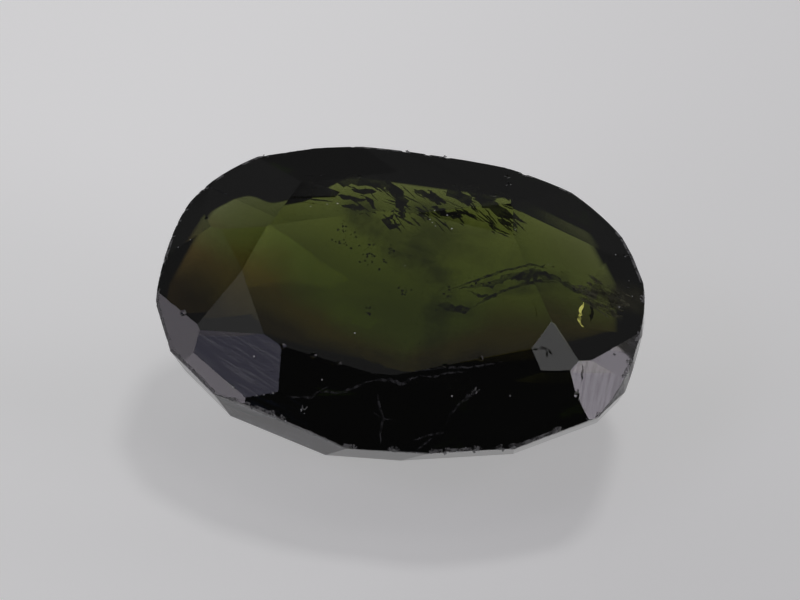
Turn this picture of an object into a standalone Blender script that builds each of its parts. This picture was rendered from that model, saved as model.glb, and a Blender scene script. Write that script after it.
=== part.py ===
"""A black tourmaline cut as an uneven oval, with a brilliant crown over a stepped pavilion.

Metres in the scene, millimetres and degrees in the values below. The stone is worked out in a frame
of its own, with the girdle at height 0, the long axis along X and the front towards -Y. It is then
leaned forward, onto the sloping front of its base, where the small flat that it rests on is ground.
Every facet is one flat cut through a rough oval blank, as on a real stone.
"""

import math
import random

import bmesh
import bpy
from mathutils import Matrix, Vector

MM = 0.001

# Size of the stone.
LENGTH = 14.06
WIDTH = 10.35
CROWN_HEIGHT = 1.27
GIRDLE_THICKNESS = 0.14

# The girdle's outline: an ellipse has power 2, and this stone keeps fuller shoulders.
# It is a little wavy, as ground by hand: how far, and for each wave how many times round and where from.
OUTLINE_POWER = 2.55
OUTLINE_POINTS = 96
OUTLINE_WAVE = 0.02
OUTLINE_WAVES = ((5, 0.6), (11, 2.1))

# The stone doesn't stand straight: it leans forward on the sloping front of its base. The axis that it
# leans about is turned this far from X.
LEAN = 12.9
LEAN_AXIS = 7.0

# The table is tipped a little, towards the front left.
TABLE_AZIMUTH = 223.0
TABLE_SLOPE = 3.5

# Crown facets: name, azimuth of the way it faces, slope, and reach, which is how far out from the
# upright axis it crosses its own level. Stars are measured at the table, the others at the girdle.
STARS = (
    ("star_left", 177.5, 16.0, 3.69),
    ("star_front_left", 212.0, 17.0, 3.41),
    ("star_front", 256.5, 26.5, 3.00),
    ("star_front_middle", 277.5, 12.0, 2.86),
    ("star_front_right", 324.0, 11.5, 5.09),
    ("star_right", 31.5, 23.5, 3.99),
    ("star_back_right", 101.0, 8.0, 2.79),
    ("star_back_left", 122.0, 13.5, 2.46),
)
BEZELS = (
    ("bezel_left", 190.5, 23.0, 7.00),
    ("bezel_front_left", 241.6, 29.9, 5.68),
    ("bezel_front", 270.5, 36.5, 4.90),
    ("bezel_front_right", 295.0, 41.5, 5.54),
    ("bezel_right", 21.5, 28.0, 6.82),
    ("bezel_back_right", 45.5, 29.0, 6.40),
    ("bezel_back", 106.0, 17.5, 6.40),
    ("bezel_back_left", 140.5, 21.5, 6.68),
)
BREAKS = (
    ("break_left_front", 212.5, 41.0, 6.46),
    ("break_front_left_low", 240.0, 45.0, 5.62),
    ("break_front_left", 256.5, 42.0, 5.14),
    ("break_front_middle", 284.0, 47.0, 5.28),
    ("break_front_right", 301.0, 46.5, 5.81),
    ("break_right_front", 333.0, 46.5, 6.95),
    ("break_right", 358.0, 41.5, 7.13),
    ("break_right_back", 24.0, 41.5, 6.96),
    ("break_back_right", 76.5, 33.8, 5.65),
    ("break_back_middle", 93.5, 31.0, 5.20),
    ("break_back_left", 108.0, 26.2, 5.53),
    ("break_left_back_high", 150.0, 27.2, 6.88),
    ("break_left_back", 170.5, 29.0, 7.02),
)

# Pavilion columns: azimuth, reach at the girdle, and the slopes of the two steps going down.
PAVILION = (
    (233.0, 6.08, 73.0, 62.0),
    (256.0, 5.14, 77.0, 58.0),
    (277.0, 5.13, 66.0, 56.0),
    (286.0, 5.27, 62.0, 55.0),
    (306.0, 5.97, 63.5, 58.0),
    (332.0, 6.95, 70.0, 62.0),
    (358.0, 7.14, 73.0, 66.0),
    (33.0, 6.80, 74.0, 68.0),
    (60.0, 6.12, 70.0, 66.0),
    (75.0, 5.52, 62.0, 40.0),
    (88.0, 5.24, 58.0, 46.0),
    (116.0, 5.83, 60.0, 46.0),
    (146.0, 6.90, 66.0, 36.0),
    (180.0, 7.06, 75.0, 72.0),
    (207.0, 6.84, 73.0, 66.0),
)
STEP_DEPTH = 1.60

# Under the steps the base was never faceted: it is ground to a low, smooth swell. It is given by its
# depth at the apex, how far back the apex lies, and how fast it rises each way, in mm for a run of 1 mm
# and as the square of the run. The flat that it rests on is a shaving off its lowest point.
SWELL_DEPTH = 4.46
SWELL_APEX = 1.6
SWELL_LEFT = 0.036
SWELL_RIGHT = 0.030
SWELL_FRONT = 0.060
SWELL_BACK = 0.050
SWELL_HALF_LENGTH = 6.6
SWELL_HALF_WIDTH = 4.2
SWELL_CUTS_ALONG = 30
SWELL_CUTS_ACROSS = 20
FLAT_SHAVING = 0.05

# Nicks worn into the edges. For each kind: how many, and what its edges' middles have in common, as the
# range of y and the range of height over the girdle.
NICKS = (
    ("rim", 80, (-9.0, 9.0), (-0.45, 0.45)),
    ("front_of_table", 9, (-4.0, -2.0), (0.95, 1.60)),
    ("back_of_table", 5, (3.0, 4.6), (0.60, 1.20)),
)
NICK_RADIUS = (0.10, 0.26)
NICK_BITE = (0.02, 0.055)
NICK_TURN_AXIS = (1.0, 2.0, 3.0)
SHARP = 7.0
SEED = 8

# Cuts closer than this, in millimetres, share their corners, and faces that differ by less than this
# angle, in degrees, are one facet.
SAME_PLACE = 1e-6
SAME_FACET = 0.2


def polar(azimuth, slope):
    """The direction that a facet faces, from its azimuth and its slope away from straight up."""
    a = math.radians(azimuth)
    s = math.radians(slope)
    return Vector((math.sin(s) * math.cos(a), math.sin(s) * math.sin(a), math.cos(s)))


def facet_plane(azimuth, slope, reach, level):
    """A point on the facet and the direction that it faces. A slope over 90 degrees faces down."""
    a = math.radians(azimuth)
    point = Vector((reach * math.cos(a), reach * math.sin(a), level))
    return point, polar(azimuth, slope)


def crown_planes():
    planes = [(Vector((0, 0, CROWN_HEIGHT)), polar(TABLE_AZIMUTH, TABLE_SLOPE))]
    for _, azimuth, slope, reach in STARS:
        planes.append(facet_plane(azimuth, slope, reach, CROWN_HEIGHT))
    for _, azimuth, slope, reach in BEZELS + BREAKS:
        planes.append(facet_plane(azimuth, slope, reach, 0.0))
    return planes


def pavilion_planes():
    """Each column goes down in two steps, and the second starts where the first ends."""
    planes = []
    for azimuth, reach, upper_slope, lower_slope in PAVILION:
        planes.append(facet_plane(azimuth, 180.0 - upper_slope, reach, -GIRDLE_THICKNESS))
        run = (STEP_DEPTH - GIRDLE_THICKNESS) / math.tan(math.radians(upper_slope))
        planes.append(facet_plane(azimuth, 180.0 - lower_slope, reach - run, -STEP_DEPTH))
    return planes


def base_planes():
    """The planes that touch the base's swell, row by row."""
    planes = []
    for i in range(SWELL_CUTS_ALONG):
        for j in range(SWELL_CUTS_ACROSS):
            x = SWELL_HALF_LENGTH * (2.0 * i / (SWELL_CUTS_ALONG - 1) - 1.0)
            y = SWELL_HALF_WIDTH * (2.0 * j / (SWELL_CUTS_ACROSS - 1) - 1.0)
            run = y - SWELL_APEX
            along = SWELL_LEFT if x < 0.0 else SWELL_RIGHT
            across = SWELL_FRONT if run < 0.0 else SWELL_BACK
            point = Vector((x, y, -SWELL_DEPTH + along * x**2 + across * run**2))
            planes.append((point, Vector((2.0 * along * x, 2.0 * across * run, -1.0)).normalized()))
    return planes


def girdle_outline():
    """Points of the girdle's oval, with the slight waviness of an outline ground by hand."""
    points = []
    for i in range(OUTLINE_POINTS):
        t = 2.0 * math.pi * i / OUTLINE_POINTS
        c = math.cos(t)
        s = math.sin(t)
        waves = sum(math.sin(times * t + start) for times, start in OUTLINE_WAVES)
        wave = 1.0 + OUTLINE_WAVE / LENGTH * waves
        x = math.copysign(abs(c) ** (2.0 / OUTLINE_POWER), c) * LENGTH / 2.0
        y = math.copysign(abs(s) ** (2.0 / OUTLINE_POWER), s) * WIDTH / 2.0
        points.append((x * wave, y * wave))
    return points


def oval_blank():
    """The rough oval block, a little taller than the stone, that the facets are cut from."""
    bm = bmesh.new()
    top = CROWN_HEIGHT * 2.0
    bottom = -SWELL_DEPTH * 1.5
    lower = [bm.verts.new((x, y, bottom)) for x, y in girdle_outline()]
    floor = bm.faces.new(lower)
    raised = bmesh.ops.extrude_face_region(bm, geom=[floor])
    moved = [v for v in raised["geom"] if isinstance(v, bmesh.types.BMVert)]
    bmesh.ops.translate(bm, verts=moved, vec=(0, 0, top - bottom))
    bmesh.ops.recalc_face_normals(bm, faces=bm.faces)
    return bm


def cut_flat(bm, point, normal):
    """Takes off all that lies beyond the plane and closes the cut with one flat face."""
    geometry = bm.verts[:] + bm.edges[:] + bm.faces[:]
    cut = bmesh.ops.bisect_plane(
        bm, geom=geometry, dist=SAME_PLACE, plane_co=point, plane_no=normal, clear_outer=True
    )
    rim = [e for e in cut["geom_cut"] if isinstance(e, bmesh.types.BMEdge)]
    if rim:
        bmesh.ops.contextual_create(bm, geom=rim)


def edge_places(bm, range_y, range_z):
    """The sharp edges that lie within the ranges, by their ends, each with the way that it faces."""
    places = []
    for edge in bm.edges:
        first, second = edge.verts
        middle = (first.co + second.co) / 2.0
        inside = range_y[0] < middle.y < range_y[1] and range_z[0] < middle.z < range_z[1]
        if inside and edge.calc_face_angle(0.0) > math.radians(SHARP):
            outward = sum((face.normal for face in edge.link_faces), Vector()).normalized()
            places.append((first.co.copy(), second.co.copy(), outward))
    return places


def nick_list(bm):
    """Each nick is a shell-shaped bite of a ball out of an edge: the ball's centre and radius."""
    rng = random.Random(SEED)
    nicks = []
    for _, count, range_y, range_z in NICKS:
        places = edge_places(bm, range_y, range_z)
        lengths = [(second - first).length for first, second, _ in places]
        for first, second, outward in rng.choices(places, weights=lengths, k=count):
            radius = rng.uniform(*NICK_RADIUS)
            bite = rng.uniform(*NICK_BITE)
            point = first.lerp(second, rng.random())
            nicks.append((point + outward * (radius - bite), radius))
    return nicks


def nick_cutter(nicks):
    """All the nicks' balls as one mesh. A ball that touches another is left out."""
    bm = bmesh.new()
    kept = []
    for centre, radius in nicks:
        if all((centre - other).length > radius + other_radius for other, other_radius in kept):
            kept.append((centre, radius))
            turn = Matrix.Rotation(centre.x + centre.y, 4, Vector(NICK_TURN_AXIS).normalized())
            place = Matrix.Translation(centre) @ turn
            bmesh.ops.create_icosphere(bm, subdivisions=2, radius=radius, matrix=place)
    return bm


def stand_level(bm, cutter):
    """Leans the stone, shaves its lowest point flat and moves the origin under its middle."""
    axis = Vector((math.cos(math.radians(LEAN_AXIS)), math.sin(math.radians(LEAN_AXIS)), 0.0))
    lean = Matrix.Rotation(math.radians(LEAN), 3, axis)
    bmesh.ops.rotate(bm, verts=bm.verts, matrix=lean)
    bmesh.ops.rotate(cutter, verts=cutter.verts, matrix=lean)
    lowest = min(v.co.z for v in bm.verts)
    cut_flat(bm, Vector((0, 0, lowest + FLAT_SHAVING)), Vector((0, 0, -1)))
    lows = [min(v.co[i] for v in bm.verts) for i in range(3)]
    highs = [max(v.co[i] for v in bm.verts) for i in range(3)]
    shift = (-(lows[0] + highs[0]) / 2.0, -(lows[1] + highs[1]) / 2.0, -lows[2])
    for mesh in (bm, cutter):
        bmesh.ops.translate(mesh, verts=mesh.verts, vec=shift)
        bmesh.ops.scale(mesh, verts=mesh.verts, vec=(MM, MM, MM))


def to_object(bm, name):
    mesh = bpy.data.meshes.new(name)
    bm.to_mesh(mesh)
    bm.free()
    obj = bpy.data.objects.new(name, mesh)
    bpy.context.scene.collection.objects.link(obj)
    return obj


def make_stone():
    bm = oval_blank()
    for point, normal in crown_planes() + pavilion_planes() + base_planes():
        cut_flat(bm, point, normal)
    bmesh.ops.dissolve_limit(bm, angle_limit=math.radians(SAME_FACET), verts=bm.verts, edges=bm.edges)
    bmesh.ops.recalc_face_normals(bm, faces=bm.faces)
    cutter = nick_cutter(nick_list(bm))
    stand_level(bm, cutter)
    bmesh.ops.recalc_face_normals(bm, faces=bm.faces)
    stone = to_object(bm, "tourmaline")
    stone.data.materials.append(tourmaline_material())
    balls = to_object(cutter, "nick_cutter")
    balls.hide_render = True
    balls.display_type = "WIRE"
    nicks = stone.modifiers.new("nicks", "BOOLEAN")
    nicks.operation = "DIFFERENCE"
    nicks.object = balls


def tourmaline_material():
    material = bpy.data.materials.new("tourmaline")
    material.use_nodes = True
    shader = material.node_tree.nodes["Principled BSDF"]
    shader.inputs["Base Color"].default_value = (0.30, 0.36, 0.12, 1.0)
    shader.inputs["Roughness"].default_value = 0.03
    shader.inputs["Metallic"].default_value = 0.0
    shader.inputs["IOR"].default_value = 1.63
    shader.inputs["Transmission Weight"].default_value = 1.0
    return material


def clear_scene():
    for obj in list(bpy.data.objects):
        bpy.data.objects.remove(obj, do_unlink=True)


def main():
    clear_scene()
    make_stone()


main()
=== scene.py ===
"""The looks of the cut black tourmaline: its body, what is inside it, its wear, and the studio."""

import math
import random

import bmesh
import bpy
from mathutils import Matrix, Vector
from mathutils.bvhtree import BVHTree


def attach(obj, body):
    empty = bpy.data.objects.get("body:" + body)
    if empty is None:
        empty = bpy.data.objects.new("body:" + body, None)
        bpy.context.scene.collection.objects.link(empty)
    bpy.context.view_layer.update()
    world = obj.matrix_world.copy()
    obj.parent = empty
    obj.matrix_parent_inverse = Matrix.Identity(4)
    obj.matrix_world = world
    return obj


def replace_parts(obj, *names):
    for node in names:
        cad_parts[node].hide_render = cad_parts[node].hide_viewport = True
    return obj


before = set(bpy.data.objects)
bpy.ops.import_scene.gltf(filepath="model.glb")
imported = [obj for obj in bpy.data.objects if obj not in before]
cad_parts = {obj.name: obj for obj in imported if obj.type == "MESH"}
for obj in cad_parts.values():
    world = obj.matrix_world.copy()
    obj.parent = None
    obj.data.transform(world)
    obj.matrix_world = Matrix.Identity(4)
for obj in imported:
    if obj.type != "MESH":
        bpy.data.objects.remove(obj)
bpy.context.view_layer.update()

MM = 0.001
SEED = 21
IMAGE_WIDTH = 800
WHITE = (1.0, 1.0, 1.0, 1.0)

# The photograph's view: how far the camera stands to the right of straight in front, and how high, in
# degrees, then its distance, how large the stone shows, its sensor, and how near and how far it sees.
CAMERA_AZIMUTH = 13.0
CAMERA_ELEVATION = 43.0
CAMERA_DISTANCE = 240 * MM
PIXELS_PER_MM = 34.57
SENSOR = 36.0
CAMERA_NEAR = 0.01
CAMERA_FAR = 10.0

# The middle of the girdle, which the camera aims at, and the way that the girdle's plane faces.
GIRDLE_MIDDLE = Vector((-0.0112, -0.0588, 4.1622)) * MM
GIRDLE_FACING = Vector((0.0272, -0.2216, 0.9748))

# The sheet that it rests on, in metres. It glows a little, so that it is as pale as the photograph's: more
# behind the stone than in front of it, and more at its left. The glow changes within this reach.
FLOOR_SIZE = 1.2
FLOOR_GAP = 0.02 * MM
FLOOR_COLOUR = (0.80, 0.80, 0.80, 1.0)
FLOOR_ROUGHNESS = 0.12
FLOOR_GLOW_FRONT = 0.305
FLOOR_GLOW_BACK = 0.375
FLOOR_GLOW_LEFT = 0.036
FLOOR_GLOW_REACH = 0.012

# The room that its facets reflect: dark in front, greyer at the back. It goes from one grey to the next
# between these shares of a view's direction, along Y from front to back and along Z from low to high.
ROOM_FRONT = 0.035
ROOM_BACK_LOW = 0.07
ROOM_BACK_MIDDLE = 0.13
ROOM_BACK_HIGH = 0.05
ROOM_BACK_STARTS = (-0.05, 0.30)
ROOM_MIDDLE_STARTS = (0.25, 0.40)
ROOM_HIGH_STARTS = (0.60, 0.70)

# Soft boxes: name, bearing from the far side turning right, height, distance and sides in metres, how
# bright its face is, and its colour.
NEUTRAL = (1.0, 1.0, 1.0)
COOL = (0.74, 0.72, 1.0)
LILAC = (1.0, 0.93, 1.04)
SOFT_BOXES = (
    ("front_left_low", -131.0, 17.0, 0.45, 0.17, 0.14, 1.85, LILAC),
    ("left_low", -93.0, 17.0, 0.45, 0.20, 0.15, 1.1, LILAC),
    ("left_high", -127.0, 45.0, 0.50, 0.24, 0.16, 0.62, COOL),
    ("left_top", -79.0, 58.0, 0.50, 0.16, 0.16, 0.33, NEUTRAL),
    ("right_low", 95.0, 15.0, 0.45, 0.16, 0.16, 3.2, LILAC),
    ("right_far", 62.0, 18.0, 0.45, 0.14, 0.14, 2.3, LILAC),
    ("overhead_right", 55.0, 78.0, 0.55, 0.14, 0.14, 0.85, NEUTRAL),
    ("overhead_back", -36.0, 70.0, 0.55, 0.17, 0.17, 0.10, NEUTRAL),
    ("back_top", 14.0, 60.0, 0.55, 0.09, 0.09, 13.0, NEUTRAL),
)

# How many times light may turn in all and pass a facet, be mirrored by one, and pass a thin layer.
BOUNCES = 24
GLOSSY_BOUNCES = 12
TRANSPARENT_BOUNCES = 32

# Clear dark tourmaline: how strongly it bends light, and how it absorbs it, per metre and by colour.
STONE_IOR = 1.63
STONE_ROUGHNESS = 0.02
ABSORPTION_DENSITY = 1000.0
ABSORPTION_COLOUR = (0.482, 0.536, 0.07, 1.0)

# Corners of the solid closer than this are one. Faces closer in direction than the flat angle, in degrees,
# are one facet, and facets closer than the smooth angle are one smooth surface.
WELD_DISTANCE = 1e-4 * MM
FLAT_ANGLE = 0.1
SMOOTH_ANGLE = 6.0

# Below, places, widths and depths without MM are in millimetres, and places are x and y in the part's frame.

# Where the crystal has grown brown, light that leaves through the base is tinted by these. The line that
# the brown starts from is the higher of two, each given by its level and its slope along X, up to a top.
# The deep brown and the brown thin out between these distances behind that line, which wanders a little.
BROWN_DEEP = (0.07, 0.02, 0.01, 1.0)
BROWN = (0.60, 0.22, 0.15, 1.0)
BROWN_LINES = ((-0.25, -0.42), (-0.56, 0.83))
BROWN_TOP = 1.4
BROWN_DEEP_ENDS = (-0.9, 0.1)
BROWN_ENDS = (0.0, 1.3)
BROWN_WANDER = 1.0
BROWN_WANDER_SCALE = 0.5

# Painted shade dims the base between these places, to this share of its light: along X towards both ends,
# and along Z up its back.
END_FADE = (2.4, 5.4)
END_SHARE = 0.34
BACK_FADE = (0.8, 3.0)
BACK_SHARE = 0.62

# Where painted shade makes the ends of the base go dark: along X at the right, and along a slanting line at
# each back corner, whose slope is a share of Y added to X.
RIGHT_END = (4.85, 5.15)
RIGHT_BACK = (7.2, 7.5)
RIGHT_BACK_SLOPE = 0.82
LEFT_BACK = (-6.70, -6.50)
LEFT_BACK_SLOPE = -0.30
END_DARKNESS = 0.0

# How high the back of the base goes dark with painted shade, and where this comes lower down, at the left:
# how much, around which x, and how far from there it starts and ends.
BACK_RIM = (3.06, 3.14)
BACK_DIP = 0.58
BACK_DIP_X = -3.8
BACK_DIP_REACH = (0.2, 1.3)

# Spots of painted shade on the base: middle with its height, radius, and the share of light that is left in
# the middle. The core is the share of the radius that is darkest.
SHADED_SPOTS = (
    ((-3.3, 2.3, 1.2), 1.8, 0.52),
    ((0.3, 3.5, 1.9), 1.3, 0.38),
    ((-5.8, 0.5, 1.8), 1.7, 0.32),
    ((3.5, 3.3, 2.3), 1.4, 0.72),
)
SPOT_CORE = 0.2

# The tint of the base ends between these heights over the girdle's plane.
TINT_ENDS = (-0.3, -0.1)

# The table's plane: its height over the origin, and its slopes along X and Y.
TABLE_LEVEL = 5.49
TABLE_SLOPES = (0.0187, 0.2715)

# Smoke in the crystal: start and end, half width, depth under the table, strength.
SMOKE = (
    ("smoke_upper", (-2.1, 2.5), (1.3, 0.7), 0.75, 1.6, 0.58),
    ("smoke_wedge", (-0.3, 2.3), (2.3, 1.9), 0.95, 1.6, 0.30),
    ("smoke_strand", (2.5, 0.3), (4.7, 0.9), 0.55, 1.1, 0.46),
    ("smoke_foot", (0.9, -0.6), (2.3, -0.3), 0.50, 1.4, 0.30),
    ("smoke_lower", (1.30, 0.9), (1.33, -2.3), 0.65, 1.6, 0.36),
    ("smoke_middle", (-0.9, 1.3), (0.9, 0.2), 0.45, 1.5, 0.22),
    ("smoke_right", (1.2, 1.5), (3.2, 1.4), 0.75, 1.6, 0.16),
    ("smoke_front", (-1.9, -2.75), (3.1, -2.95), 0.55, 0.5, 0.42),
)

# Healed fractures: strands as points, width and depth under the table.
STRANDS = (
    (((1.74, 0.08), (2.62, 0.35), (3.08, 0.70), (3.62, 0.92), (4.11, 0.88), (4.75, 0.72)), 0.22, 1.0),
    (((3.20, 0.72), (3.75, 0.84), (4.20, 0.80)), 0.34, 1.05),
    (((4.45, 0.80), (5.05, 0.61), (5.45, 0.75)), 0.26, 0.95),
    (((2.21, -0.39), (2.59, 0.0), (3.04, 0.34), (3.51, 0.62), (4.31, 0.85)), 0.12, 1.2),
    (((1.25, -0.42), (1.75, -0.50), (2.20, -0.43)), 0.30, 1.2),
    (((2.05, 0.12), (2.35, -0.02), (2.9, 0.05)), 0.12, 1.1),
    (((1.5, 0.0), (2.3, 0.50), (3.0, 0.92), (3.5, 1.12), (4.0, 1.12)), 0.09, 1.0),
)

# Dark strokes near the back, as points and width, all at one depth under the table.
BACK_STROKES = (
    (((-1.14, 3.22), (-0.75, 2.80), (-0.55, 2.45), (-0.42, 2.22)), 0.40),
    (((-0.55, 2.20), (-0.30, 2.10)), 0.22),
    (((-0.30, 3.05), (0.17, 2.82), (0.65, 2.60)), 0.26),
    (((0.11, 3.10), (0.45, 2.85), (0.75, 2.62)), 0.18),
    (((0.62, 3.31), (1.03, 3.00), (1.40, 2.62)), 0.46),
    (((0.37, 2.46), (0.71, 2.35), (1.33, 2.28)), 0.26),
    (((0.95, 2.40), (1.30, 2.38)), 0.26),
    (((1.50, 3.00), (2.05, 2.84), (2.40, 2.62), (2.78, 2.45)), 0.40),
    (((2.30, 2.40), (2.85, 2.20)), 0.16),
    (((1.20, 3.24), (1.74, 3.08), (2.15, 2.98)), 0.30),
    (((-1.00, 1.85), (-0.66, 1.76), (-0.38, 1.80)), 0.32),
    (((-0.84, 1.90), (-0.66, 2.12)), 0.14),
    (((-2.57, 2.93), (-1.73, 3.05), (-1.00, 3.24)), 0.50),
    (((-2.08, 2.80), (-1.70, 2.70), (-1.36, 2.80)), 0.26),
    (((0.50, 3.42), (1.32, 3.38), (1.96, 3.28), (2.55, 3.10)), 0.40),
    (((-2.43, 2.45), (-2.02, 2.38), (-1.55, 2.40)), 0.20),
    (((-2.23, 2.09), (-1.87, 2.11), (-1.53, 2.04)), 0.20),
    (((-1.61, 2.51), (-1.35, 2.31), (-1.29, 2.07)), 0.16),
    (((-3.90, 2.25), (-3.10, 2.20), (-2.50, 2.20)), 0.07),
)

# Fine hairs: how many, the corners that they start between, which way they run, lengths and widths.
BACK_HAIRS = (60, ((-2.3, 2.0), (2.5, 3.2)), (0.86, -0.50), (0.35, 0.95), (0.03, 0.08))
END_HAIRS = (80, ((5.2, 0.2), (6.05, 1.3)), (0.98, 0.10), (0.20, 0.60), (0.02, 0.11))
HAIR_TURN = 0.35
BACK_STROKE_DEPTH = 0.9

# Knots of dark specks: place and how far they spread. Loose specks lie anywhere between two corners.
SPECK_KNOTS = (
    ((-1.21, 0.99), 0.14), ((-1.18, 0.49), 0.14), ((-0.78, 0.45), 0.12), ((-0.50, 0.92), 0.08),
    ((-1.95, 1.11), 0.22), ((-1.81, 0.89), 0.18), ((0.25, -0.42), 0.10), ((-0.59, -1.15), 0.12),
    ((-2.05, 1.50), 0.12), ((2.30, 0.20), 0.22), ((1.55, -0.48), 0.25), ((3.9, 0.95), 0.25),
)
SPECK_DEPTH = 0.8
SPECK_SIZE = (0.02, 0.06)
SPECKS_PER_KNOT = 9
LOOSE_SPECKS = 70
LOOSE_CORNERS = ((-2.6, -2.4), (4.2, 2.0))

# Marks on the surface, as points and width.
PALE_CRACKS = (
    (((0.24, -3.96), (0.33, -4.15), (0.52, -4.39), (0.47, -4.62), (0.54, -4.87)), 0.07),
    (((3.08, -3.55), (2.64, -3.84), (2.39, -4.09), (2.33, -4.26)), 0.07),
    (((3.02, -3.52), (2.74, -3.74)), 0.10),
    (((1.47, -4.68), (1.93, -4.53), (2.37, -4.42)), 0.05),
    (((1.60, -4.85), (1.98, -4.58)), 0.04),
    (((0.20, -4.32), (0.52, -4.39), (0.85, -4.38)), 0.03),
    (((-2.39, -4.27), (-2.00, -4.28), (-1.66, -4.26), (-1.46, -4.10), (-1.22, -3.99)), 0.06),
    (((-1.50, -4.12), (-0.95, -4.08), (-0.68, -4.02), (-0.20, -3.81), (0.07, -3.72)), 0.06),
    (((0.07, -3.72), (0.56, -3.66), (0.89, -3.69), (1.38, -3.43)), 0.08),
    (((1.13, -3.36), (1.88, -3.10), (2.62, -2.95), (3.20, -2.75), (3.59, -2.60)), 0.07),
    (((1.38, -3.43), (1.78, -3.38), (1.99, -3.24), (2.62, -3.07)), 0.06),
    (((-3.56, 2.99), (-3.30, 3.01)), 0.06),
    (((-3.15, 3.02), (-2.85, 3.06)), 0.05),
    (((-2.49, 2.93), (-2.25, 2.97)), 0.05),
    (((-2.15, 2.99), (-1.78, 3.06)), 0.05),
    (((-6.35, 2.58), (-5.95, 2.33), (-5.56, 2.11)), 0.05),
    (((6.18, 1.54), (6.44, 1.60)), 0.08),
    (((6.00, 0.95), (6.30, 1.10)), 0.06),
    (((5.35, 0.30), (5.60, 0.62)), 0.03),
)
DARK_CRACKS = (
    (((4.36, -2.08), (4.55, -1.98), (4.71, -1.96), (4.94, -2.06)), 0.10),
    (((4.72, -1.97), (4.80, -2.20)), 0.07),
    (((5.79, -2.00), (5.82, -2.12), (5.86, -2.34)), 0.07),
    (((6.50, -0.98), (6.53, -1.06)), 0.10),
    (((-4.05, 1.80), (-3.30, 1.75), (-2.60, 1.72)), 0.03),
    (((4.50, 0.95), (4.58, 0.85)), 0.05),
    (((4.05, -0.60), (4.20, -0.90), (4.22, -1.10)), 0.03),
)
# Pale chips on the table, which also stand for painted glints.
WHITE_FLECKS = (
    (0.50, 1.60), (0.58, 1.52), (0.70, 1.42), (1.19, 1.41), (2.99, 1.73), (4.13, 0.96), (4.20, 1.05),
    (0.12, 0.0), (-2.60, 1.75), (-2.30, 1.82), (-3.05, 1.60), (0.55, 1.95), (0.95, 1.85), (-1.43, -3.84),
    (3.97, -3.32), (2.36, -3.74), (-0.80, -2.40), (-3.55, -3.35), (6.55, 1.35), (6.35, 1.85), (6.30, 0.70),
)

# The frayed end of the strands at the right, as points and widths, just over the surface.
FRAYED = (
    (((4.90, 0.62), (5.45, 0.62), (6.00, 0.78), (6.55, 1.00)), 0.50),
    (((5.20, 0.25), (5.90, 0.42), (6.50, 0.30)), 0.20),
)

# The dull haze on the crown's right end: start, end, half width and strength, and where its facets begin.
END_HAZE = ((5.5, 1.0), (7.0, 1.35), 0.85, 0.50)
END_HAZE_FROM = 4.5 * MM

# A painted glint at the right: a break's glowing bright crescent and the dark one behind it, just over the
# surface.
GLINT_POINTS = ((5.37, 0.16), (5.34, -0.25), (5.39, -0.62), (5.56, -0.72))
GLINT_SHADE_POINTS = ((5.50, 0.30), (5.66, 0.05), (5.66, -0.35))
GLINT_WIDTH = 0.11
PAINTED_GLINT_GLOW = 0.16

# The dark corner of a back facet.
DARK_CORNER = ((-3.76, 1.86), (-3.42, 2.72), (-2.35, 2.32), (-2.43, 2.07))

# Coats laid over facets stand this far off them, small marks a little farther, and the painted rim highlight
# farthest.
# The surface is found by rays from this high over the origin.
COAT_LIFT = 0.002 * MM
LIFT = 0.004 * MM
RIM_LIFT = 0.006 * MM
RAY_HEIGHT = 20.0

# Facets are picked by the way that they face, to within this many degrees. Polish runs along a direction.
PICK_ANGLE = 3.0
FRONT_LEFT_FACING = Vector((-0.215, -0.620, 0.754))
LOW_FRONT_LEFT_FACING = Vector((-0.138, -0.800, 0.584))
LEFT_BASE_FACING = Vector((-0.586, -0.682, -0.439))
FRONT_BASE_FACING = Vector((-0.245, -0.873, -0.422))
RIGHT_FACING = Vector((0.664, -0.472, 0.580))
RIGHT_END_FACING = Vector((0.682, -0.186, 0.707))
UNDER_STAR_FACING = Vector((0.188, -0.331, 0.925))
FRONT_RIGHT_FACING = Vector((0.298, -0.751, 0.589))
FRONT_STAR_FACING = Vector((0.053, -0.418, 0.907))
FRONT_LEFT_ALONG = (1.67, -0.78, -0.16)
LOW_FRONT_LEFT_ALONG = (1.53, -0.25, -0.27)
LEFT_BASE_ALONG = (-0.76, 0.65, 0.0)
FRONT_BASE_ALONG = (-0.96, 0.27, 0.0)
RIGHT_ALONG = (0.0, -1.03, -0.72)

# The worn right end: how far forward along Y its wear reaches, how ragged its edge is, the way that it is
# brushed, how fine and how long its streaks are, and how much it hides where it is thinnest.
WORN_FRONT = (-0.84, -0.66)
WORN_RAGGED = 0.5
WORN_ALONG = (0.72, 0.30, -0.62)
WORN_SCALE = 5.0
WORN_STRETCH = 5.0
WORN_RANGE = (0.35, 0.65)
WORN_THINNEST = 0.70

# The girdle's rough band: its faces turn from upright by less than this share, and lie within this reach of
# the girdle's plane. The painted highlight along the rim is this wide on each side of the band's upper edge,
# or this share of the width of a narrow facet.
GIRDLE_LEAN = 0.3
GIRDLE_REACH = 0.2 * MM
RIM_WIDTH = 0.10 * MM
RIM_SHARE = 0.8

# Pale chips along the edges, which also stand for painted sparkle: how sharp in degrees and how high over
# the girdle an edge is that has them, how many there are, and their size.
FLAKE_EDGE_ANGLE = 9.0
FLAKE_TOP = 0.35 * MM
FLAKE_COUNT = 150
FLAKE_SIZE = (0.015, 0.05)
WHITE_FLECK_SIZE = (0.015, 0.035)

# How deep the dark sheets of painted shade lie under the front right facets.
SHADE_DEPTH = 0.12 * MM

# A ribbon: the distance between its stations, at least this share of its width, how fast it widens from its
# tips, how wide the tips are, how much it wanders, and how ragged its edges are.
RIBBON_STEP = 0.07
RIBBON_STEP_SHARE = 0.4
RIBBON_TAPER = 5.0
RIBBON_TIP = 0.15
RIBBON_WANDER = 0.18
RIBBON_EDGE = (0.4, 1.15)

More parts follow.
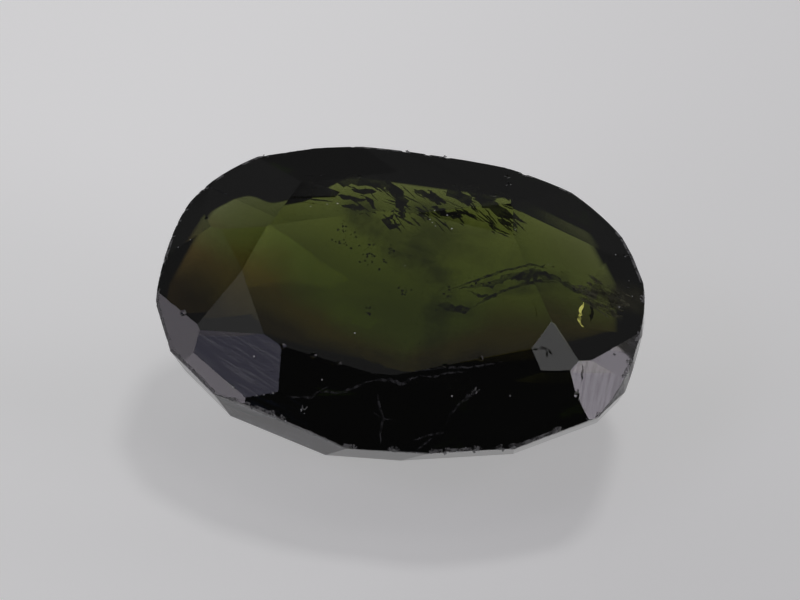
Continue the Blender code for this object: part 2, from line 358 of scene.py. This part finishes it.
# A fleck: how many corners it has, how unevenly they are spaced, and how far out they reach.
FLECK_CORNERS = 5
FLECK_TURN = 0.3
FLECK_REACH = (0.5, 1.0)

# A band of smoke or haze: how finely its sides wobble, between which shares of its half width they fade, how
# many half widths a sheet goes past its ends, how fine its patches are, and how thin it gets.
BAND_WOBBLE_SCALE = 1.6
BAND_SIDES = (0.15, 0.85)
BAND_OVERHANG = 0.6
BAND_PATCH_SCALE = 2.5
BAND_PATCH_RANGE = (0.25, 0.65)
BAND_THINNEST = 0.45

# Colours of the thin layers, and how much lighter they get in places.
SMOKE_COLOUR = (0.010, 0.010, 0.005, 1.0)
DARK_COLOUR = (0.012, 0.012, 0.010, 1.0)
SHADE_COLOUR = (0.001, 0.001, 0.001, 1.0)
FRAYED_COLOUR = (0.060, 0.060, 0.042, 1.0)
WORN_COLOUR = (0.05, 0.05, 0.048, 1.0)
PALE_COLOUR = (0.045, 0.045, 0.047, 1.0)
# The painted rim highlight.
RIM_HIGHLIGHT_COLOUR = (0.13, 0.13, 0.13, 1.0)
GIRDLE_COLOUR = (0.14, 0.14, 0.14, 1.0)
# Pale chips, which also stand for painted sparkle.
FLAKE_COLOUR = (0.40, 0.41, 0.42, 1.0)
WHITE_COLOUR = (0.85, 0.86, 0.88, 1.0)
# The painted glint glows in this colour.
PAINTED_GLINT_COLOUR = (0.72, 0.70, 0.16, 1.0)
STREAK_COLOUR = (0.55, 0.56, 0.62, 1.0)
BLUE_COLOUR = (0.05, 0.07, 0.14, 1.0)
LAYER_LIGHTER = 1.8
LAYER_MOTTLE = 4.0
LAYER_ROUGHNESS = 0.5
ROUGH_SPECULAR = 0.5

# Patchy layers: colour, how fine the patches are, and the alpha where they are thinnest and thickest. They
# go from thin to thick between these levels of a noise.
PATCHY_LAYERS = {
    "healed_fracture": (DARK_COLOUR, 4.0, 0.40, 0.95),
    "back_strokes": (DARK_COLOUR, 2.0, 0.88, 1.0),
    "dark_specks": (DARK_COLOUR, 6.0, 0.70, 1.0),
    "pale_cracks": (PALE_COLOUR, 7.0, 0.10, 0.85),
    "dark_cracks": (DARK_COLOUR, 7.0, 0.10, 0.85),
    "frayed_end": (FRAYED_COLOUR, 4.0, 0.30, 0.95),
    "white_flecks": (WHITE_COLOUR, 9.0, 0.50, 1.0),
    # The painted glint, which glows.
    "painted_glint": (PAINTED_GLINT_COLOUR, 5.0, 0.15, 1.0),
    "dark_corner": (DARK_COLOUR, 2.0, 0.85, 1.0),
    # Pale chips and painted sparkle.
    "edge_flakes": (FLAKE_COLOUR, 9.0, 0.20, 0.9),
    # The painted rim highlight.
    "painted_rim_highlight": (RIM_HIGHLIGHT_COLOUR, 6.0, 0.25, 0.95),
    "rough_girdle": (GIRDLE_COLOUR, 5.0, 0.55, 1.0),
    "shade_under_front": (SHADE_COLOUR, 1.0, 0.80, 0.95),
}
PATCH_RANGE = (0.38, 0.60)
PATCH_DETAIL = 6.0

# Streaks of polish: the facet's direction, theirs, colour, how fine and how long they are, and the most that
# they hide. They go from none to most between these levels of a noise.
STREAKS = (
    ("front_left_streaks", FRONT_LEFT_FACING, FRONT_LEFT_ALONG, STREAK_COLOUR, 16.0, 24.0, 0.13),
    ("low_front_left_streaks", LOW_FRONT_LEFT_FACING, LOW_FRONT_LEFT_ALONG, BLUE_COLOUR, 5.0, 8.0, 0.09),
    ("left_base_streaks", LEFT_BASE_FACING, LEFT_BASE_ALONG, STREAK_COLOUR, 10.0, 30.0, 0.25),
    ("front_base_streaks", FRONT_BASE_FACING, FRONT_BASE_ALONG, STREAK_COLOUR, 10.0, 30.0, 0.25),
    ("right_streaks", RIGHT_FACING, RIGHT_ALONG, DARK_COLOUR, 9.0, 12.0, 0.10),
)
STREAK_RANGE = (0.46, 0.66)
STREAK_DETAIL = 5.0


def direction(azimuth, elevation):
    """A bearing measured from the far side, +Y, turning right, and a height over the floor."""
    a = math.radians(azimuth)
    e = math.radians(elevation)
    return Vector((math.sin(a) * math.cos(e), math.cos(a) * math.cos(e), math.sin(e)))


def look_at(obj, target):
    toward = Vector(target) - obj.location
    obj.rotation_euler = toward.to_track_quat("-Z", "Y").to_euler()


def make_camera():
    data = bpy.data.cameras.new("camera")
    data.sensor_width = SENSOR
    data.lens = PIXELS_PER_MM / MM * CAMERA_DISTANCE * SENSOR / IMAGE_WIDTH
    data.clip_start = CAMERA_NEAR
    data.clip_end = CAMERA_FAR
    camera = bpy.data.objects.new("camera", data)
    bpy.context.scene.collection.objects.link(camera)
    camera.location = GIRDLE_MIDDLE + CAMERA_DISTANCE * direction(180.0 - CAMERA_AZIMUTH, CAMERA_ELEVATION)
    look_at(camera, GIRDLE_MIDDLE)
    bpy.context.scene.camera = camera


def make_soft_boxes():
    for name, azimuth, elevation, distance, width, height, brightness, colour in SOFT_BOXES:
        data = bpy.data.lights.new(name, "AREA")
        data.shape = "RECTANGLE"
        data.size = width
        data.size_y = height
        data.energy = brightness * math.pi * width * height
        data.color = colour
        lamp = bpy.data.objects.new(name, data)
        bpy.context.scene.collection.objects.link(lamp)
        lamp.location = distance * direction(azimuth, elevation)
        look_at(lamp, (0, 0, 0))


class Nodes:
    """Adds nodes to a tree with short calls. Values may be numbers, colours or other nodes' outputs."""

    def __init__(self, tree):
        self.tree = tree

    def add(self, kind, values=(), **settings):
        node = self.tree.nodes.new("ShaderNode" + kind)
        for key, value in settings.items():
            setattr(node, key, value)
        for key, value in dict(values).items():
            self.put(node.inputs[key], value)
        return node

    def put(self, socket, value):
        if isinstance(value, bpy.types.NodeSocket):
            self.tree.links.new(value, socket)
        else:
            socket.default_value = value

    def math(self, operation, first, second=0.0):
        return self.add("Math", {0: first, 1: second}, operation=operation).outputs[0]

    def line(self, value, slope, level):
        """A straight line: the value times its slope, and its level added."""
        return self.math("ADD", self.math("MULTIPLY", value, slope), level)

    def span(self, value, low, high, start=0.0, end=1.0):
        """Goes smoothly from start to end while the value goes from low to high."""
        settings = {"Value": value, "From Min": low, "From Max": high, "To Min": start, "To Max": end}
        node = self.add("MapRange", settings, interpolation_type="SMOOTHSTEP")
        return node.outputs["Result"]

    def blend(self, factor, first, second):
        node = self.add("Mix", {"Factor": factor, 2: first, 3: second}, data_type="FLOAT")
        return node.outputs[0]

    def mix(self, factor, first, second):
        node = self.add("Mix", data_type="RGBA")
        self.put(node.inputs["Factor"], factor)
        self.put(node.inputs[6], first)
        self.put(node.inputs[7], second)
        return node.outputs[2]

    def times(self, first, second):
        node = self.add("Mix", {"Factor": 1.0}, data_type="RGBA", blend_type="MULTIPLY")
        self.put(node.inputs[6], first)
        self.put(node.inputs[7], second)
        return node.outputs[2]

    def grey(self, value):
        node = self.add("CombineColor", {"Red": value, "Green": value, "Blue": value})
        return node.outputs["Color"]

    def dot(self, first, second):
        return self.add("VectorMath", {0: first, 1: second}, operation="DOT_PRODUCT").outputs["Value"]

    def place(self):
        """The point on the piece, in millimetres."""
        coordinates = self.add("TexCoord").outputs["Object"]
        node = self.add("VectorMath", {0: coordinates, 3: 1.0 / MM}, operation="SCALE")
        return node.outputs[0]

    def noise(self, place, scale, detail=3.0):
        settings = {"Vector": place, "Scale": scale, "Detail": detail}
        return self.add("TexNoise", settings).outputs["Fac"]

    def streaks(self, place, facing, along, scale, stretch):
        """Noise in the plane that faces this way, drawn out along one direction."""
        along = Vector(along).normalized()
        across = Vector(facing).cross(along).normalized()
        drawn_out = self.math("DIVIDE", self.dot(place, along), stretch)
        plane = self.add("CombineXYZ", {"X": self.dot(place, across), "Y": drawn_out})
        return self.noise(plane.outputs[0], scale, detail=STREAK_DETAIL)


def make_sky():
    world = bpy.data.worlds.new("studio")
    world.use_nodes = True
    tree = Nodes(world.node_tree)
    background = world.node_tree.nodes["Background"]
    axes = tree.add("SeparateXYZ", {0: tree.add("TexCoord").outputs["Generated"]})
    back = tree.span(axes.outputs["Z"], *ROOM_MIDDLE_STARTS, ROOM_BACK_LOW, ROOM_BACK_MIDDLE)
    high = tree.span(axes.outputs["Z"], *ROOM_HIGH_STARTS)
    back = tree.blend(high, back, ROOM_BACK_HIGH)
    away = tree.span(axes.outputs["Y"], *ROOM_BACK_STARTS)
    tree.put(background.inputs["Color"], WHITE)
    tree.put(background.inputs["Strength"], tree.blend(away, ROOM_FRONT, back))
    bpy.context.scene.world = world


def make_floor():
    bpy.ops.mesh.primitive_plane_add(size=FLOOR_SIZE)
    floor = bpy.context.object
    floor.name = "floor"
    floor.location.z = -FLOOR_GAP
    material = bpy.data.materials.new("pale_glossy_sheet")
    material.use_nodes = True
    tree = Nodes(material.node_tree)
    shader = material.node_tree.nodes["Principled BSDF"]
    axes = tree.add("SeparateXYZ", {0: tree.add("TexCoord").outputs["Object"]})
    reach = FLOOR_GLOW_REACH
    tree.put(shader.inputs["Base Color"], FLOOR_COLOUR)
    tree.put(shader.inputs["Roughness"], FLOOR_ROUGHNESS)
    tree.put(shader.inputs["Emission Color"], WHITE)
    glow = tree.span(axes.outputs["Y"], -reach, reach, FLOOR_GLOW_FRONT, FLOOR_GLOW_BACK)
    left = tree.span(axes.outputs["X"], -reach, reach, FLOOR_GLOW_LEFT, -FLOOR_GLOW_LEFT)
    tree.put(shader.inputs["Emission Strength"], tree.math("ADD", glow, left))
    floor.data.materials.append(material)


def welded_stone():
    """The CAD stone as a clean closed mesh: its corners welded and its flat facets whole again."""
    bm = bmesh.new()
    bm.from_mesh(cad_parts["tourmaline"].data)
    bmesh.ops.remove_doubles(bm, verts=bm.verts, dist=WELD_DISTANCE)
    bmesh.ops.dissolve_limit(bm, angle_limit=math.radians(FLAT_ANGLE), verts=bm.verts, edges=bm.edges)
    bm.normal_update()
    return bm


def smooth_rounded_parts(bm):
    """Keeps the edges between facets sharp, and shades the rounded parts of the base smooth."""
    for face in bm.faces:
        face.smooth = True
    for edge in bm.edges:
        edge.smooth = edge.calc_face_angle(0.0) < math.radians(SMOOTH_ANGLE)


def new_piece(bm, name, material):
    """Makes a piece of this mesh. It rides on the stone's one body."""
    mesh = bpy.data.meshes.new(name)
    bm.to_mesh(mesh)
    bm.free()
    piece = bpy.data.objects.new(name, mesh)
    bpy.context.scene.collection.objects.link(piece)
    mesh.materials.append(material)
    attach(piece, "root")
    return piece


def height_over_girdle(tree, place):
    offset = tree.add("VectorMath", {0: place, 1: GIRDLE_MIDDLE / MM}, operation="SUBTRACT").outputs[0]
    return tree.dot(offset, GIRDLE_FACING)


def brown_tint(tree, place, x, y):
    """Deep brown in front of the line, brown along it, and clear farther back."""
    wander = tree.line(tree.noise(place, BROWN_WANDER_SCALE), BROWN_WANDER, -0.5 * BROWN_WANDER)
    first, second = [tree.line(x, slope, level) for level, slope in BROWN_LINES]
    line = tree.math("MINIMUM", BROWN_TOP, tree.math("MAXIMUM", first, second))
    over = tree.math("ADD", tree.math("SUBTRACT", y, line), wander)
    tint = tree.mix(tree.span(over, *BROWN_DEEP_ENDS), BROWN_DEEP, BROWN)
    return tree.mix(tree.span(over, *BROWN_ENDS), tint, WHITE)


def end_shares(tree, x, y):
    """The shares of light that painted shade leaves towards the base's ends and at its back corners."""
    right_slant = tree.line(y, RIGHT_BACK_SLOPE, x)
    left_slant = tree.line(y, LEFT_BACK_SLOPE, x)
    right_end = tree.span(x, *RIGHT_END, 1.0, END_DARKNESS)
    right_back = tree.span(right_slant, *RIGHT_BACK, 1.0, END_DARKNESS)
    return [
        tree.span(tree.math("ABSOLUTE", x), *END_FADE, 1.0, END_SHARE),
        tree.math("MINIMUM", right_end, right_back),
        tree.span(left_slant, *LEFT_BACK, END_DARKNESS, 1.0),
    ]


def back_shares(tree, x, z):
    """The shares of light that painted shade leaves up the base's back and at its rim."""
    beside = tree.math("ABSOLUTE", tree.math("SUBTRACT", x, BACK_DIP_X))
    dip = tree.span(beside, *BACK_DIP_REACH, BACK_DIP, 0.0)
    return [
        tree.span(z, *BACK_FADE, 1.0, BACK_SHARE),
        tree.span(tree.math("ADD", z, dip), *BACK_RIM, 1.0, END_DARKNESS),
    ]


def spot_shares(tree, place):
    """The shares of light that are left in the base's spots of painted shade."""
    shares = []
    for middle, radius, share in SHADED_SPOTS:
        distance = tree.add("VectorMath", {0: place, 1: middle}, operation="DISTANCE").outputs["Value"]
        shares.append(tree.span(distance, SPOT_CORE * radius, radius, share, 1.0))
    return shares


def stone_tint(tree, place):
    """What light is tinted by as it leaves through the base: the brown zone, and painted shade where the
    base is dark.
    """
    axes = tree.add("SeparateXYZ", {0: place})
    x, y, z = [axes.outputs[axis] for axis in "XYZ"]
    light = 1.0
    for share in end_shares(tree, x, y) + back_shares(tree, x, z) + spot_shares(tree, place):
        light = tree.math("MULTIPLY", light, share)
    tint = tree.times(brown_tint(tree, place, x, y), tree.grey(light))
    return tree.mix(tree.span(height_over_girdle(tree, place), *TINT_ENDS), tint, WHITE)


def stone_material():
    material = bpy.data.materials.new("tourmaline")
    material.use_nodes = True
    tree = Nodes(material.node_tree)
    shader = material.node_tree.nodes["Principled BSDF"]
    tree.put(shader.inputs["Base Color"], stone_tint(tree, tree.place()))
    tree.put(shader.inputs["Roughness"], STONE_ROUGHNESS)
    tree.put(shader.inputs["IOR"], STONE_IOR)
    tree.put(shader.inputs["Transmission Weight"], 1.0)
    absorb = tree.add("VolumeAbsorption", {"Color": ABSORPTION_COLOUR, "Density": ABSORPTION_DENSITY})
    tree.put(material.node_tree.nodes["Material Output"].inputs["Volume"], absorb.outputs["Volume"])
    return material


def layer_material(name, colour, alpha, specular=0.0, glow=0.0):
    """A thin layer in or on the crystal. A function gives its alpha from the tree and the place."""
    material = bpy.data.materials.new(name)
    material.use_nodes = True
    tree = Nodes(material.node_tree)
    shader = material.node_tree.nodes["Principled BSDF"]
    place = tree.place()
    lighter = [min(1.0, LAYER_LIGHTER * part) for part in colour]
    tree.put(shader.inputs["Base Color"], tree.mix(tree.noise(place, LAYER_MOTTLE), colour, lighter))
    tree.put(shader.inputs["Roughness"], LAYER_ROUGHNESS)
    tree.put(shader.inputs["Specular IOR Level"], specular)
    tree.put(shader.inputs["Alpha"], alpha(tree, place))
    tree.put(shader.inputs["Emission Color"], colour)
    tree.put(shader.inputs["Emission Strength"], glow)
    return material


def patchy_material(name, specular=0.0, glow=0.0):
    """A layer that is thin in some places and thick in others."""
    colour, scale, thinnest, thickest = PATCHY_LAYERS[name]

    def alpha(tree, place):
        return tree.span(tree.noise(place, scale, detail=PATCH_DETAIL), *PATCH_RANGE, thinnest, thickest)

    return layer_material(name, colour, alpha, specular, glow)


def streaky(facing, along, scale, stretch, most):
    """The alpha of fine streaks along one direction of a facet."""

    def alpha(tree, place):
        return tree.span(tree.streaks(place, facing, along, scale, stretch), *STREAK_RANGE, 0.0, most)

    return alpha


def band_alpha(start, end, half_width, strength):
    """Strongest along the line from start to end, and patchy, with soft sides and ends."""
    start = Vector(start)
    end = Vector(end)
    along = (end - start).normalized()
    length = (end - start).length

    def alpha(tree, place):
        origin = (start.x, start.y, 0.0)
        offset = tree.add("VectorMath", {0: place, 1: origin}, operation="SUBTRACT").outputs[0]
        run = tree.dot(offset, (along.x, along.y, 0.0))
        side = tree.dot(offset, (-along.y, along.x, 0.0))
        wobble = tree.line(tree.noise(place, BAND_WOBBLE_SCALE), half_width, -0.5 * half_width)
        side = tree.math("ABSOLUTE", tree.math("ADD", side, wobble))
        inner, outer = BAND_SIDES
        sides = tree.span(side, half_width * inner, half_width * outer, 1.0, 0.0)
        first = tree.span(run, -0.5 * half_width, 0.5 * half_width)
        last = tree.span(run, length - 0.5 * half_width, length + 0.5 * half_width, 1.0, 0.0)
        patches = tree.noise(place, BAND_PATCH_SCALE, detail=PATCH_DETAIL)
        patches = tree.span(patches, *BAND_PATCH_RANGE, BAND_THINNEST, 1.0)
        share = tree.math("MULTIPLY", sides, patches)
        share = tree.math("MULTIPLY", share, tree.math("MULTIPLY", first, last))
        return tree.math("MULTIPLY", share, strength)

    return alpha


def worn_alpha(tree, place):
    """Wear on the right end's facet, with a brushed edge."""
    y = tree.add("SeparateXYZ", {0: place}).outputs["Y"]
    brushed = tree.streaks(place, RIGHT_END_FACING, WORN_ALONG, WORN_SCALE, WORN_STRETCH)
    ragged = tree.line(brushed, WORN_RAGGED, -0.5 * WORN_RAGGED)
    back = tree.span(tree.math("ADD", y, ragged), *WORN_FRONT)
    return tree.math("MULTIPLY", back, tree.span(brushed, *WORN_RANGE, WORN_THINNEST, 1.0))


def under_table(depth):
    """Gives the point at x and y, in millimetres, that lies this deep under the table's plane."""

    def settle(x, y):
        z = TABLE_LEVEL + TABLE_SLOPES[0] * x + TABLE_SLOPES[1] * y - depth
        return Vector((x, y, z)) * MM

    return settle


def on_surface(stone):
    """Gives the point at x and y, in millimetres, that lies just over the crown."""
    surface = BVHTree.FromBMesh(stone)

    def settle(x, y):
        above = Vector((x, y, RAY_HEIGHT)) * MM
        place, facing, _, _ = surface.ray_cast(above, Vector((0.0, 0.0, -1.0)))
        return place + facing * LIFT

    return settle


def add_ribbon(bm, points, width, settle, rng):
    """A strip along these points that thins out at both ends. Its edges are ragged."""
    path = []
    for first, second in zip(points, points[1:]):
        first = Vector(first)
        second = Vector(second)
        steps = max(2, int((second - first).length / max(RIBBON_STEP, RIBBON_STEP_SHARE * width)))
        path += [first.lerp(second, i / steps) for i in range(steps)]
    path.append(Vector(points[-1]))
    rows = []
    for i, point in enumerate(path):
        ahead = path[min(len(path) - 1, i + 1)] - path[max(0, i - 1)]
        side = Vector((-ahead.y, ahead.x)).normalized() * width
        share = i / (len(path) - 1)
        widening = min(1.0, RIBBON_TAPER * share, RIBBON_TAPER * (1.0 - share))
        half = (widening * (1.0 - RIBBON_TIP) + RIBBON_TIP) / 2
        middle = point + side * rng.uniform(-RIBBON_WANDER, RIBBON_WANDER)
        left = middle - side * half * rng.uniform(*RIBBON_EDGE)
        right = middle + side * half * rng.uniform(*RIBBON_EDGE)
        rows.append((bm.verts.new(settle(*left)), bm.verts.new(settle(*right))))
    for (a, b), (c, d) in zip(rows, rows[1:]):
        bm.faces.new((a, b, d, c))


def ribbons(lines, settle, rng):
    """A mesh with one ribbon for each line, which is given by its points and width."""
    bm = bmesh.new()
    for points, width in lines:
        add_ribbon(bm, points, width, settle, rng)
    return bm


def add_hairs(bm, hairs, settle, rng):
    """Fine ribbons that start anywhere between two corners and run much the same way."""
    count, ((left, front), (right, back)), way, lengths, widths = hairs
    for _ in range(count):
        first = Vector((rng.uniform(left, right), rng.uniform(front, back)))
        turn = Matrix.Rotation(rng.uniform(-HAIR_TURN, HAIR_TURN), 2)
        last = first + turn @ Vector(way) * rng.uniform(*lengths)
        add_ribbon(bm, (first, last), rng.uniform(*widths), settle, rng)


def add_fleck(bm, x, y, size, settle, rng):
    corners = []
    for i in range(FLECK_CORNERS):
        angle = math.tau * (i + rng.uniform(-FLECK_TURN, FLECK_TURN)) / FLECK_CORNERS
        reach = size * rng.uniform(*FLECK_REACH)
        corners.append(bm.verts.new(settle(x + reach * math.cos(angle), y + reach * math.sin(angle))))
    bm.faces.new(corners)


def band_sheet(start, end, half_width, depth):
    """A flat sheet under the table that is just large enough for a band."""
    settle = under_table(depth)
    start = Vector(start)
    end = Vector(end)
    along = (end - start).normalized() * half_width
    side = Vector((-along.y, along.x))
    first = start - along * BAND_OVERHANG
    last = end + along * BAND_OVERHANG
    bm = bmesh.new()
    corners = (first - side, last - side, last + side, first + side)
    bm.faces.new([bm.verts.new(settle(*corner)) for corner in corners])
    return bm


def facets_facing(stone, *directions):
    """The facets that face one of these ways."""
    limit = math.cos(math.radians(PICK_ANGLE))
    facings = [facing.normalized() for facing in directions]
    return [face for face in stone.faces if any(face.normal.dot(facing) > limit for facing in facings)]


def girdle_band(stone):
    """The faces of the girdle's rough band."""
    faces = []
    for face in stone.faces:
        height = (face.calc_center_median() - GIRDLE_MIDDLE).dot(GIRDLE_FACING)
        upright = abs(face.normal.dot(GIRDLE_FACING)) < GIRDLE_LEAN
        if upright and abs(height) < GIRDLE_REACH:
            faces.append(face)
    return faces


def coat(faces, lift=COAT_LIFT):
    """A copy of these facets that stands off them."""
    bm = bmesh.new()
    for face in faces:
        bm.faces.new([bm.verts.new(corner.co + face.normal * lift) for corner in face.verts])
    return bm


def right_end_of_crown(stone):
    """The crown's facets at the right end, without the two that are worn or streaked."""
    marked = facets_facing(stone, RIGHT_FACING, RIGHT_END_FACING)
    faces = []
    for face in stone.faces:
        on_crown = face.normal.dot(GIRDLE_FACING) > GIRDLE_LEAN
        if on_crown and face.calc_center_median().x > END_HAZE_FROM and face not in marked:
            faces.append(face)
    return faces


def rim_strips(stone):
    """Narrow strips of painted highlight on both sides of the edge between the crown and the girdle."""
    bm = bmesh.new()
    for edge in stone.edges:
        leans = [face.normal.dot(GIRDLE_FACING) for face in edge.link_faces]
        first = edge.verts[0].co
        second = edge.verts[1].co
        height = (first + second) / 2 - GIRDLE_MIDDLE
        if not min(leans) < GIRDLE_LEAN < max(leans) or height.dot(GIRDLE_FACING) < -GIRDLE_REACH:
            continue
        for face in edge.link_faces:
            inward = face.normal.cross(second - first).normalized()
            if inward.dot(face.calc_center_median() - first) < 0:
                inward = -inward
            reach = min(RIM_WIDTH, RIM_SHARE * face.calc_area() / edge.calc_length())
            corners = (first, second, second + inward * reach, first + inward * reach)
            bm.faces.new([bm.verts.new(corner + face.normal * RIM_LIFT) for corner in corners])
    return bm


def add_smoke():
    for name, start, end, half_width, depth, strength in SMOKE:
        material = layer_material(name, SMOKE_COLOUR, band_alpha(start, end, half_width, strength))
        new_piece(band_sheet(start, end, half_width, depth), name, material)


def add_healed_fracture(rng):
    bm = bmesh.new()
    for points, width, depth in STRANDS:
        add_ribbon(bm, points, width, under_table(depth), rng)
    new_piece(bm, "healed_fracture", patchy_material("healed_fracture"))


def add_back_strokes(rng):
    """Dark strokes and hairs in the crystal near its back."""
    settle = under_table(BACK_STROKE_DEPTH)
    bm = ribbons(BACK_STROKES, settle, rng)
    add_hairs(bm, BACK_HAIRS, settle, rng)
    new_piece(bm, "back_strokes", patchy_material("back_strokes"))


def add_dark_specks(rng):
    """Dark specks in the crystal: knots of them, and loose ones."""
    bm = bmesh.new()
    settle = under_table(SPECK_DEPTH)
    for (x, y), spread in SPECK_KNOTS:
        for _ in range(SPECKS_PER_KNOT):
            add_fleck(bm, rng.gauss(x, spread), rng.gauss(y, spread), rng.uniform(*SPECK_SIZE), settle, rng)
    (left, front), (right, back) = LOOSE_CORNERS
    for _ in range(LOOSE_SPECKS):
        add_fleck(bm, rng.uniform(left, right), rng.uniform(front, back), SPECK_SIZE[0], settle, rng)
    new_piece(bm, "dark_specks", patchy_material("dark_specks"))


def add_cracks(settle, rng):
    for name, lines in (("pale_cracks", PALE_CRACKS), ("dark_cracks", DARK_CRACKS)):
        new_piece(ribbons(lines, settle, rng), name, patchy_material(name))


def add_frayed_end(settle, rng):
    """The right end of the healed fracture, where it meets the surface."""
    bm = ribbons(FRAYED, settle, rng)
    add_hairs(bm, END_HAIRS, settle, rng)
    new_piece(bm, "frayed_end", patchy_material("frayed_end"))


def add_white_flecks(settle, rng):
    # Pale chips that also stand for painted glints.
    bm = bmesh.new()
    for x, y in WHITE_FLECKS:
        add_fleck(bm, x, y, rng.uniform(*WHITE_FLECK_SIZE), settle, rng)
    new_piece(bm, "white_flecks", patchy_material("white_flecks"))


def add_painted_glint(settle, rng):
    """The painted glint at the right, which glows, then the dark crescent behind it, in one piece with the
    dark corner.
    """
    bm = ribbons(((GLINT_POINTS, GLINT_WIDTH),), settle, rng)
    new_piece(bm, "painted_glint", patchy_material("painted_glint", glow=PAINTED_GLINT_GLOW))
    bm = ribbons(((GLINT_SHADE_POINTS, GLINT_WIDTH),), settle, rng)
    bm.faces.new([bm.verts.new(settle(x, y)) for x, y in DARK_CORNER])
    new_piece(bm, "dark_corner", patchy_material("dark_corner"))


def add_rim_flakes(stone, rng):
    """Small pale chips along the sharp edges at the girdle, which also stand for painted sparkle."""
    edges = []
    for edge in stone.edges:
        middle = (edge.verts[0].co + edge.verts[1].co) / 2
        height = (middle - GIRDLE_MIDDLE).dot(GIRDLE_FACING)
        sharp = edge.calc_face_angle(0.0) > math.radians(FLAKE_EDGE_ANGLE)
        if sharp and -GIRDLE_REACH < height < FLAKE_TOP:
            edges.append(edge)
    weights = [edge.calc_length() for edge in edges]
    bm = bmesh.new()
    for edge in rng.choices(edges, weights, k=FLAKE_COUNT):
        facing = sum((face.normal for face in edge.link_faces), Vector()).normalized()
        along = (edge.verts[1].co - edge.verts[0].co).normalized()
        across = facing.cross(along)
        middle = edge.verts[0].co.lerp(edge.verts[1].co, rng.random())

        def settle(x, y):
            return middle + (along * x + across * y) * MM + facing * LIFT

        add_fleck(bm, 0.0, 0.0, rng.uniform(*FLAKE_SIZE), settle, rng)
    new_piece(bm, "edge_flakes", patchy_material("edge_flakes"))


def add_streaks(stone):
    for name, facing, along, colour, scale, stretch, most in STREAKS:
        material = layer_material(name, colour, streaky(facing, along, scale, stretch, most))
        new_piece(coat(facets_facing(stone, facing)), name, material)


def add_right_end_wear(stone):
    """A dull haze on the crown's right end, and the worn facet there."""
    haze = layer_material("end_haze", FRAYED_COLOUR, band_alpha(*END_HAZE))
    new_piece(coat(right_end_of_crown(stone)), "end_haze", haze)
    worn = layer_material("worn_end", WORN_COLOUR, worn_alpha)
    new_piece(coat(facets_facing(stone, RIGHT_END_FACING)), "worn_end", worn)


def add_rim_highlight_and_rough_girdle(stone):
    """The painted highlight on the rim over the girdle, and the girdle's rough band."""
    new_piece(rim_strips(stone), "painted_rim_highlight", patchy_material("painted_rim_highlight", specular=ROUGH_SPECULAR))
    rough = patchy_material("rough_girdle", specular=ROUGH_SPECULAR)
    new_piece(coat(girdle_band(stone)), "rough_girdle", rough)


def add_shade(stone):
    """Dark sheets of painted shade in the crystal that keep the front right facets black."""
    shaded = facets_facing(stone, UNDER_STAR_FACING, FRONT_RIGHT_FACING, FRONT_STAR_FACING)
    new_piece(coat(shaded, -SHADE_DEPTH), "shade_under_front", patchy_material("shade_under_front"))


def set_tones_and_bounces():
    """Plain tones, and enough bounces for light to cross the stone."""
    scene = bpy.context.scene
    scene.view_settings.view_transform = "Standard"
    scene.cycles.max_bounces = BOUNCES
    scene.cycles.transmission_bounces = BOUNCES
    scene.cycles.glossy_bounces = GLOSSY_BOUNCES
    scene.cycles.transparent_max_bounces = TRANSPARENT_BOUNCES


def dress_stone():
    rng = random.Random(SEED)
    stone = welded_stone()
    smooth_rounded_parts(stone)
    add_smoke()
    add_healed_fracture(rng)
    add_back_strokes(rng)
    add_dark_specks(rng)
    settle = on_surface(stone)
    add_cracks(settle, rng)
    add_frayed_end(settle, rng)
    add_white_flecks(settle, rng)
    add_painted_glint(settle, rng)
    add_rim_flakes(stone, rng)
    add_streaks(stone)
    add_right_end_wear(stone)
    add_rim_highlight_and_rough_girdle(stone)
    add_shade(stone)
    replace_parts(new_piece(stone, "cut_stone", stone_material()), "tourmaline")


set_tones_and_bounces()
make_camera()
make_sky()
make_soft_boxes()
make_floor()
dress_stone()
